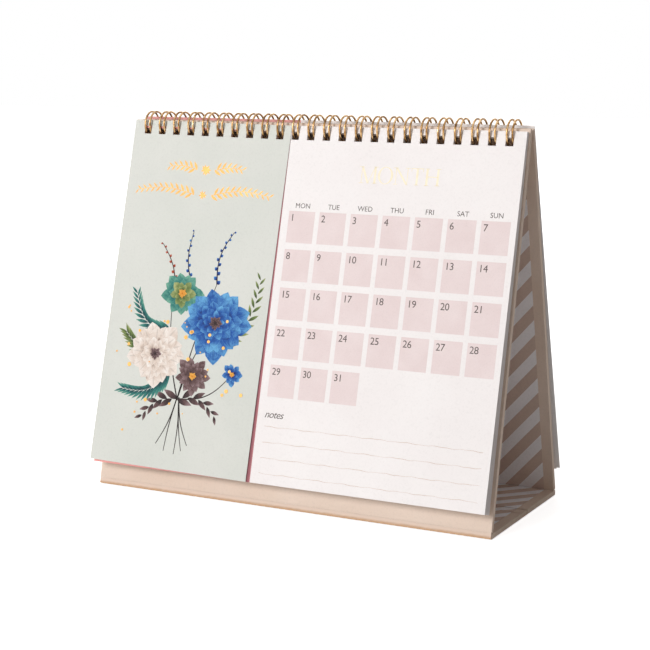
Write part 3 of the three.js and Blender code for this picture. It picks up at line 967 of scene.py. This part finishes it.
def gold_sprig(card, sprays, whorls):
    """Two rows of mirrored gold vines, with a small sun over a star between them."""
    centre, upper, lower = 45, 24, 36.5
    gap, bend = 5, 0.07
    vines = []
    for row, (depth, reach, count) in enumerate(((upper, 21, 12), (lower, 38, 22))):
        for side, hand in ((-1, "left"), (1, "right")):
            inner, outer = (centre + gap * side, depth), (centre + reach * side, depth - 1)
            stem = stem_points(inner, outer, bend * side)
            vines.append(ribbon(stem, lambda t: 0.4 - 0.15 * t))
            spray(f"gold_vine_{row}_{hand}", card, sprays, stem, leaf_shape(4.6, 1.35), count,
                  splay=0.8, layers=2, material=CARD_FOIL, tip=0.55)
    printed("gold_vine_stems", slab_mesh("gold_vine_stems", vines), card, 1, CARD_FOIL)
    bloom("gold_sun", card, whorls, (centre, upper), leaf_shape(3.4, 1.2), count=12, inner=0.6,
          layers=1, material=CARD_FOIL, seed=1)
    bloom("gold_star", card, whorls, (centre, lower), leaf_shape(2.6, 0.9), count=8, inner=0.8,
          layers=1, material=CARD_FOIL, seed=1)


# Lining and cover paper in the groove of the base's middle fold

def groove_path(half, edge, middle, towards):
    """Half of the groove's section, from a lining's edge down over the board and out to the middle."""
    side = 1 if towards > 0 else 0
    lining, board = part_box(f"{half}_lining"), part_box(f"{half}_board")
    top = lining[1].z + GROOVE_GAP * MM
    lapped = [(lining[side].y - towards * GROOVE_LAP * MM, top)]
    turned = [(board[side].y + towards * out * MM, top - down * MM) for out, down in GROOVE_TURN]
    sagged = top - GROOVE_SAG * MM
    return lapped + turned + [(edge, sagged), (middle, sagged)]


def groove_paper(name, path, span, towards, material, foot=None):
    """A thin sheet along the path. With a foot height, its end is turned down beside the groove."""
    start_x, end_x = span
    columns = [start_x + (end_x - start_x) * i / GROOVE_COLUMNS for i in range(GROOVE_COLUMNS + 1)]
    thickness = GROOVE_PAPER * MM
    outside = end_x + math.copysign(thickness, end_x - start_x)
    bm = bmesh.new()
    rows = []
    for y, z in path:
        under = [(x, z) for x in columns]
        over = [(x, z + thickness) for x in columns]
        if foot is not None:
            down = foot if (y - path[2][0]) * towards >= 0 else z - GROOVE_GAP * MM
            under.append((end_x, down))
            over[-1] = (outside, z + thickness)
            over.append((outside, down))
        rows.append([bm.verts.new((x, y, height)) for x, height in under + over[::-1]])
    for first, second in zip(rows, rows[1:]):
        band(bm, first, second)
    bm.faces.new(rows[0])
    bm.faces.new(rows[-1][::-1])
    bmesh.ops.recalc_face_normals(bm, faces=bm.faces)
    mesh = finished_mesh(name, bm)
    mesh.materials.append(material)
    piece = in_scene(name, mesh)
    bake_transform(piece)


def middle_fold_papers():
    """The striped lining and its plain margins run on through the groove between the base's halves."""
    pivots = {joint["name"]: Vector(joint["pos_m"]) for joint in frame["joints"]}
    front, rear = pivots["mid_fold_front_edge"].y, pivots["mid_fold_rear_edge"].y
    inner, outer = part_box("base_front_lining"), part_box("base_mid_fold_strip")
    foot = outer[1].z + MARGIN_FOOT * MM
    inset = MARGIN_INSET * MM
    left, right = (inner[0].x, outer[0].x + inset), (inner[1].x, outer[1].x - inset)
    for half, edge, towards in (("base_front", front, 1), ("base_rear", rear, -1)):
        path = groove_path(half, edge, (front + rear) / 2, towards)
        lower = [(y, z - MARGIN_DROP * MM) for y, z in path]
        groove_paper(f"{half}_groove_lining", path, (inner[0].x, inner[1].x), towards,
                     LINING)
        for hand, span in (("left", left), ("right", right)):
            groove_paper(f"{half}_groove_margin_{hand}", lower, span, towards,
                         COVER, foot)


# Materials of the carried-over solids

# Start and end of a node's name, and its material; the first row that fits holds
FINISHES = (
    ("", "_board", BOARD),
    ("", "cover_paper", COVER),
    ("front_lining", "", FRONT_LINING),
    ("", "lining", LINING),
    ("", "strip", FOLD),
    ("left_card_10", "", SAGE),
    ("left_card_09", "", CORAL),
    ("left_card", "", BLUSH),
    ("turned_left_card", "", TURNED_CORAL_PAINTED_LIGHT),
    ("turned_right_page", "", TURNED_PAGE_PAINTED_LIGHT),
    ("right_page", "", PAGE),
    ("twin_loop_wire", "", GOLD_WIRE),
)


def dress_frame():
    """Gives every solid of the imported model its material."""
    for name, node in frame["nodes"].items():
        fitting = (m for start, end, m in FINISHES if name.startswith(start) and name.endswith(end))
        node.data.materials.clear()
        node.data.materials.append(next(fitting))


# Stage, light and camera

def background_rays(tree):
    """1 where the camera looks, or where a reflection or a clear material lets it look, and 0 otherwise."""
    path = add(tree, "ShaderNodeLightPath")
    seen = calculated(tree, "MAXIMUM", path.outputs["Is Camera Ray"], path.outputs["Is Glossy Ray"])
    return calculated(tree, "MAXIMUM", seen, path.outputs["Is Transmission Ray"])


def floor():
    """A pale floor that is seen as white, but for the object's shadow on it."""
    bm = bmesh.new()
    bmesh.ops.create_grid(bm, x_segments=2, y_segments=2, size=FLOOR_REACH)
    mesh = finished_mesh("floor", bm)
    mesh.transform(Matrix.Translation((0, 0, -FLOOR_DROP)))
    material, tree, shader, vector = new_material("pale floor", 0.9)
    shader.inputs["Base Color"].default_value = grey(FLOOR_SHADE)
    reach = add(tree, "ShaderNodeVectorMath", {0: vector}, operation="LENGTH").outputs["Value"]
    strength = ranged(tree, reach, GLOW_RISES_FROM, GLOW_RISES_TO, FLOOR_GLOW, FLOOR_GLOW_FAR)
    glow = add(tree, "ShaderNodeEmission", {"Strength": strength})
    total = add(tree, "ShaderNodeAddShader", {0: shader.outputs[0], 1: glow.outputs[0]})
    shown = {0: background_rays(tree), 1: shader.outputs[0], 2: total.outputs[0]}
    choose = add(tree, "ShaderNodeMixShader", shown)
    output = next(n for n in tree.nodes if n.type == "OUTPUT_MATERIAL")
    feed(tree, choose.outputs[0], output.inputs["Surface"])
    mesh.materials.append(material)
    piece = in_scene("floor", mesh)


def surroundings():
    """A surround that is seen as white and lights the object only faintly."""
    world = bpy.data.worlds.new("studio")
    bpy.context.scene.world = world
    world.use_nodes = True
    tree = world.node_tree
    tree.nodes.clear()
    shown = background_rays(tree)
    light = {"Strength": ranged(tree, shown, 0, 1, AMBIENT, 1),
             "Color": mix(tree, shown, AMBIENT_COLOUR, grey(1))}
    background = add(tree, "ShaderNodeBackground", light)
    add(tree, "ShaderNodeOutputWorld", {"Surface": background.outputs[0]})


def lights():
    for name, place, target_height, size, power in LAMPS:
        lamp = bpy.data.lights.new(name, "AREA")
        lamp.shape = "DISK"
        lamp.size = size
        lamp.energy = power
        holder = in_scene(name, lamp)
        holder.location = place
        aim = Vector((0, 0, target_height)) - Vector(place)
        holder.rotation_euler = aim.to_track_quat("-Z", "Y").to_euler()


def camera():
    yaw, pitch = math.radians(CAMERA_YAW), math.radians(CAMERA_PITCH)
    forward = Vector((-math.sin(yaw) * math.cos(pitch), math.cos(yaw) * math.cos(pitch), -math.sin(pitch)))
    upward = Vector((-math.sin(yaw) * math.sin(pitch), math.cos(yaw) * math.sin(pitch), math.cos(pitch)))
    front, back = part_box("front_cover_paper"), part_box("back_cover_paper")
    middle = Vector(((front[0].x + front[1].x) / 2, (front[0].y + back[1].y) / 2, 0))
    lens = bpy.data.cameras.new("camera")
    lens.lens = CAMERA_LENS
    lens.sensor_width = CAMERA_SENSOR
    lens.sensor_fit = "HORIZONTAL"
    holder = in_scene("camera", lens)
    holder.location = middle - forward * CAMERA_DISTANCE + upward * CAMERA_RISE
    holder.rotation_euler = (math.pi / 2 - pitch, 0, yaw)
    bpy.context.scene.camera = holder


def main():
    bpy.context.scene.view_settings.view_transform = "Standard"
    camera()
    dress_frame()
    binding_wire()
    page = (sheet_place("right_page_10"), "top_right_page", "page_paper")
    day_squares(page)
    page_lettering(page)
    note_lines(page)
    page_title(page)
    card = (sheet_place("left_card_10"), "top_left_card", "sage_card")
    sprays, whorls = spray_tree(), whorl_tree()
    bouquet(card, sprays, whorls)
    gold_dots(card)
    gold_sprig(card, sprays, whorls)
    middle_fold_papers()
    floor()
    surroundings()
    lights()


main()
